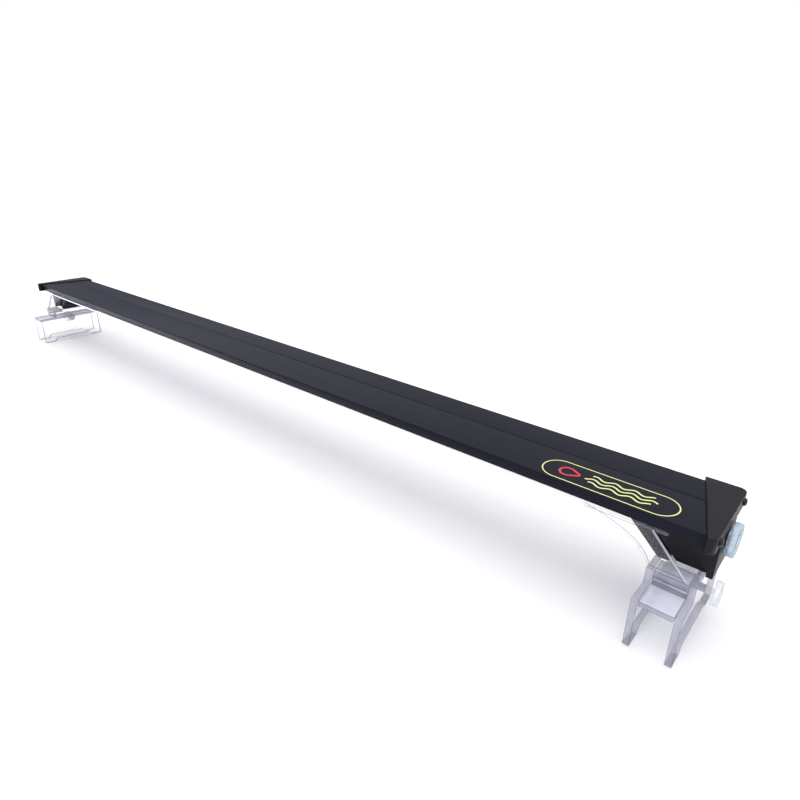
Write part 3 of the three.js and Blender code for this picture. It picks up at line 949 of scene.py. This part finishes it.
def fluted_knob(bm, centre, direction, radius, flutes):
    """Adds a knob with a fluted rim, a dished face and a raised hub."""
    sides = flutes * 8
    flute_depth, rim = 0.035, 0.9
    profile = [(0.0, 0.10), (0.40, 0.10), (0.46, 0.04), (0.80, 0.0), (0.97, 0.02), (1.0, 0.12),
               (1.0, 0.86), (0.97, 0.97), (0.84, 1.0), (0.74, 0.84), (0.46, 0.80), (0.42, 0.96),
               (0.36, 1.0), (0.0, 1.0)]
    rings = []
    for ratio, along in profile:
        x = centre[0] + direction * along * KNOB_DEPTH
        if ratio == 0:
            rings.append([bm.verts.new((x, centre[1], centre[2]))])
            continue

        def reach(turn):
            scallop = flute_depth * (1 + math.cos(flutes * turn)) / 2 if ratio > rim else 0.0
            return radius * (ratio - scallop)

        rings.append(ring(bm, x, centre, sides, reach))
    skin(bm, rings, sides)


def build_thumb_screw(end, part, flutes, shank, pitch, plastic):
    """One thumb screw, its knob outermost and its thread running inward."""
    node = f"{end}_{part}"
    side = ENDS[end]
    low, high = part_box(node)
    y, z = (low.y + high.y) / 2, (low.z + high.z) / 2
    outer = high.x if side > 0 else low.x
    face = outer - side * KNOB_DEPTH
    radius = max(high.y - low.y, high.z - low.z) / 2
    overlap = 0.3 * MM
    bm = bmesh.new()
    fluted_knob(bm, (face, y, z), side, radius, flutes)
    threaded_shank(bm, (face + side * overlap, y, z), -side,
                   high.x - low.x - KNOB_DEPTH + overlap, shank, pitch, 0.3 * MM)
    piece = from_bmesh(f"{node}_body", bm, plastic, smooth=40)
    stand_for(piece, "clear_nylon", node, node)


def build_washer(end):
    """The steel washer that travels with the mount screw."""
    node = f"{end}_mount_washer"
    low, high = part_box(node)
    outer, depth, edge = (high.z - low.z) / 2, high.x - low.x, 0.15 * MM
    bm = bmesh.new()
    turned(bm, [(WASHER_BORE, 0.1 * MM), (WASHER_BORE + 0.1 * MM, 0), (outer - edge, 0),
                (outer, edge), (outer, depth - edge), (outer - edge, depth),
                (WASHER_BORE + 0.1 * MM, depth), (WASHER_BORE, depth - 0.1 * MM),
                (WASHER_BORE, 0.1 * MM)],
           (low.x, (low.y + high.y) / 2, (low.z + high.z) / 2), 1)
    bmesh.ops.remove_doubles(bm, verts=bm.verts, dist=0.001 * MM)
    stand_for(from_bmesh(f"{end}_washer_ring", bm, "steel", smooth=30), "steel", node, node)


def build_pad(end):
    """The plastic pad at the tip of the clamp screw."""
    node = f"{end}_clamp_pad"
    low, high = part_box(node)
    outer, depth = (high.z - low.z) / 2, high.x - low.x
    wide, narrow = 0.5 * MM, 0.15 * MM
    bm = bmesh.new()
    turned(bm, [(0, 0), (outer - wide, 0), (outer - narrow, narrow), (outer, wide),
                (outer, depth - wide), (outer - narrow, depth - narrow), (outer - wide, depth),
                (0, depth)],
           (low.x, (low.y + high.y) / 2, (low.z + high.z) / 2), 1)
    pad = from_bmesh(f"{end}_pad_disc", bm, "pad rubber", smooth=30)
    stand_for(pad, "white_plastic", node, node)


def build_thumb_screws():
    """Mount and clamp screws, with the washers and pads that travel with them."""
    for end in ENDS:
        build_thumb_screw(end, "mount_screw", 12, 2.5 * MM, sizes().mount_pitch, "blue nylon")
        build_thumb_screw(end, "clamp_screw", 10, 2.2 * MM, sizes().clamp_pitch, "clear nylon")
        build_washer(end)
        build_pad(end)


# ---------------------------------------------------------------- the stage

def build_studio_light():
    """A backdrop that the camera sees as white and the light sees as dim, bright overhead."""
    world = bpy.data.worlds.new("studio")
    world.use_nodes = True
    nodes, link = world.node_tree.nodes, world.node_tree.links.new
    backdrop = nodes["Background"]
    direction = nodes.new("ShaderNodeTexCoord")
    height = nodes.new("ShaderNodeSeparateXYZ")
    ramp = nodes.new("ShaderNodeValToRGB")
    horizon, overhead = ramp.color_ramp.elements
    horizon.position = 0.0
    horizon.color = (0.065, 0.08, 0.15, 1.0)
    overhead.position = 0.75
    overhead.color = (1.35, 1.35, 1.35, 1.0)
    seen = nodes.new("ShaderNodeLightPath")
    mix = nodes.new("ShaderNodeMix")
    mix.data_type = "RGBA"
    mix.inputs[MIX_SECOND].default_value = (1.0, 1.0, 1.0, 1.0)
    link(direction.outputs["Generated"], height.inputs["Vector"])
    link(height.outputs["Z"], ramp.inputs["Fac"])
    link(seen.outputs["Is Camera Ray"], mix.inputs["Factor"])
    link(ramp.outputs["Color"], mix.inputs[MIX_FIRST])
    link(mix.outputs[MIX_RESULT], backdrop.inputs["Color"])
    bpy.context.scene.world = world
    bpy.context.scene.view_settings.view_transform = "Standard"


def soft_light(name, place, aim, size, power):
    """A rectangular light at a place, turned to its aim."""
    data = bpy.data.lights.new(name, "AREA")
    data.shape = "RECTANGLE"
    data.size, data.size_y = size
    data.energy = power
    light = bpy.data.objects.new(name, data)
    light.location = place
    light.rotation_euler = (Vector(aim) - Vector(place)).to_track_quat("-Z", "Y").to_euler()
    bpy.context.scene.collection.objects.link(light)


def build_camera():
    """The camera, set by its place, its heading, its tilt and a slight roll."""
    yaw, pitch, roll = (math.radians(angle) for angle in (CAMERA_YAW, CAMERA_PITCH, CAMERA_ROLL))
    forward = Vector((math.cos(pitch) * math.sin(yaw), math.cos(pitch) * math.cos(yaw),
                      math.sin(pitch)))
    right = forward.cross(Vector((0, 0, 1))).normalized()
    up = right.cross(forward)
    rolled_right = math.cos(roll) * right + math.sin(roll) * up
    rolled_up = math.cos(roll) * up - math.sin(roll) * right
    data = bpy.data.cameras.new("camera")
    data.lens = CAMERA_LENS
    data.sensor_width = CAMERA_SENSOR
    data.clip_start = 0.01
    camera = bpy.data.objects.new("camera", data)
    camera.matrix_world = Matrix((rolled_right, rolled_up, -forward)).transposed().to_4x4()
    camera.location = CAMERA_PLACE
    bpy.context.scene.collection.objects.link(camera)
    bpy.context.scene.camera = camera


def build_stage():
    """Pale floor, soft light and the camera."""
    bm = bmesh.new()
    bmesh.ops.create_grid(bm, x_segments=1, y_segments=1, size=FLOOR_REACH)
    mesh = bpy.data.meshes.new("floor")
    bm.to_mesh(mesh)
    bm.free()
    floor = bpy.data.objects.new("floor", mesh)
    bpy.context.scene.collection.objects.link(floor)
    ground = Finish("pale floor", Roughness=0.85, Specular_IOR_Level=0.2)
    tinted(ground, colours().floor, ground.noise((0.7, 0.7, 0.7), 2.0), 0.99, 1.01)
    mesh.materials.append(ground.material)
    build_studio_light()
    soft_light("overhead", (0.0, 0.1, 2.2), (0, 0, 0), (2.4, 2.0), 16)
    soft_light("front fill", (1.4, -1.8, 1.4), (0.1, 0, 0.05), (1.4, 1.0), 5)
    build_camera()


# ---------------------------------------------------------------- operators and panel

class LIGHT_OT_stage(bpy.types.Operator):
    """Makes the floor, the lights and the camera"""

    bl_idname = "aquarium_light.stage"
    bl_label = "Stage"

    def execute(self, context):
        build_stage()
        return {"FINISHED"}


class LIGHT_OT_bar(bpy.types.Operator):
    """Makes the bar's shell and the oval printed on it"""

    bl_idname = "aquarium_light.bar"
    bl_label = "Bar"

    def execute(self, context):
        build_bar()
        return {"FINISHED"}


class LIGHT_OT_led_row(bpy.types.Operator):
    """Makes the boards' LEDs, resistors and bridges"""

    bl_idname = "aquarium_light.led_row"
    bl_label = "LED row"

    def execute(self, context):
        build_led_row()
        return {"FINISHED"}


class LIGHT_OT_cover(bpy.types.Operator):
    """Makes the clear cover under the LEDs"""

    bl_idname = "aquarium_light.cover"
    bl_label = "Cover"

    def execute(self, context):
        build_cover()
        return {"FINISHED"}


class LIGHT_OT_inlet(bpy.types.Operator):
    """Makes the power inlet and paints its wires"""

    bl_idname = "aquarium_light.inlet"
    bl_label = "Inlet"

    def execute(self, context):
        build_inlet()
        return {"FINISHED"}


class LIGHT_OT_end_caps(bpy.types.Operator):
    """Makes the two end caps"""

    bl_idname = "aquarium_light.end_caps"
    bl_label = "End caps"

    def execute(self, context):
        build_end_caps()
        return {"FINISHED"}


class LIGHT_OT_feet(bpy.types.Operator):
    """Makes the clear sheets of both feet"""

    bl_idname = "aquarium_light.feet"
    bl_label = "Feet"

    def execute(self, context):
        build_feet()
        return {"FINISHED"}


class LIGHT_OT_holders(bpy.types.Operator):
    """Makes the black holders and struts"""

    bl_idname = "aquarium_light.holders"
    bl_label = "Holders"

    def execute(self, context):
        build_holders()
        return {"FINISHED"}


class LIGHT_OT_fasteners(bpy.types.Operator):
    """Makes the small screws and inserts"""

    bl_idname = "aquarium_light.fasteners"
    bl_label = "Fasteners"

    def execute(self, context):
        build_fasteners()
        return {"FINISHED"}


class LIGHT_OT_thumb_screws(bpy.types.Operator):
    """Makes the mount and clamp screws"""

    bl_idname = "aquarium_light.thumb_screws"
    bl_label = "Thumb screws"

    def execute(self, context):
        build_thumb_screws()
        return {"FINISHED"}


STEPS = (
    LIGHT_OT_stage, LIGHT_OT_bar, LIGHT_OT_led_row, LIGHT_OT_cover, LIGHT_OT_inlet,
    LIGHT_OT_end_caps, LIGHT_OT_feet, LIGHT_OT_holders, LIGHT_OT_fasteners,
    LIGHT_OT_thumb_screws,
)

class LIGHT_PT_panel(bpy.types.Panel):
    """Lists the steps and settings of the light."""

    bl_idname = "LIGHT_PT_panel"
    bl_label = "Aquarium Light"
    bl_space_type = "VIEW_3D"
    bl_region_type = "UI"
    bl_category = "Aquarium Light"

    def draw(self, context):
        for group in (context.scene.light_sizes, context.scene.light_colours):
            for key in group.__annotations__:
                self.layout.prop(group, key)
        for step in STEPS:
            self.layout.operator(step.bl_idname)


CLASSES = (LightSizes, LightColours, *STEPS, LIGHT_PT_panel)


def register():
    """Adds the classes and settings to Blender."""
    for item in CLASSES:
        bpy.utils.register_class(item)
    bpy.types.Scene.light_sizes = bpy.props.PointerProperty(type=LightSizes)
    bpy.types.Scene.light_colours = bpy.props.PointerProperty(type=LightColours)


def unregister():
    """Takes the classes and settings out of Blender."""
    del bpy.types.Scene.light_colours
    del bpy.types.Scene.light_sizes
    for item in reversed(CLASSES):
        bpy.utils.unregister_class(item)


def main():
    """Builds every piece."""
    register()
    bpy.ops.aquarium_light.stage()
    bpy.ops.aquarium_light.bar()
    bpy.ops.aquarium_light.led_row()
    bpy.ops.aquarium_light.cover()
    bpy.ops.aquarium_light.inlet()
    bpy.ops.aquarium_light.end_caps()
    bpy.ops.aquarium_light.feet()
    bpy.ops.aquarium_light.holders()
    bpy.ops.aquarium_light.fasteners()
    bpy.ops.aquarium_light.thumb_screws()


if __name__ == "__main__":
    main()
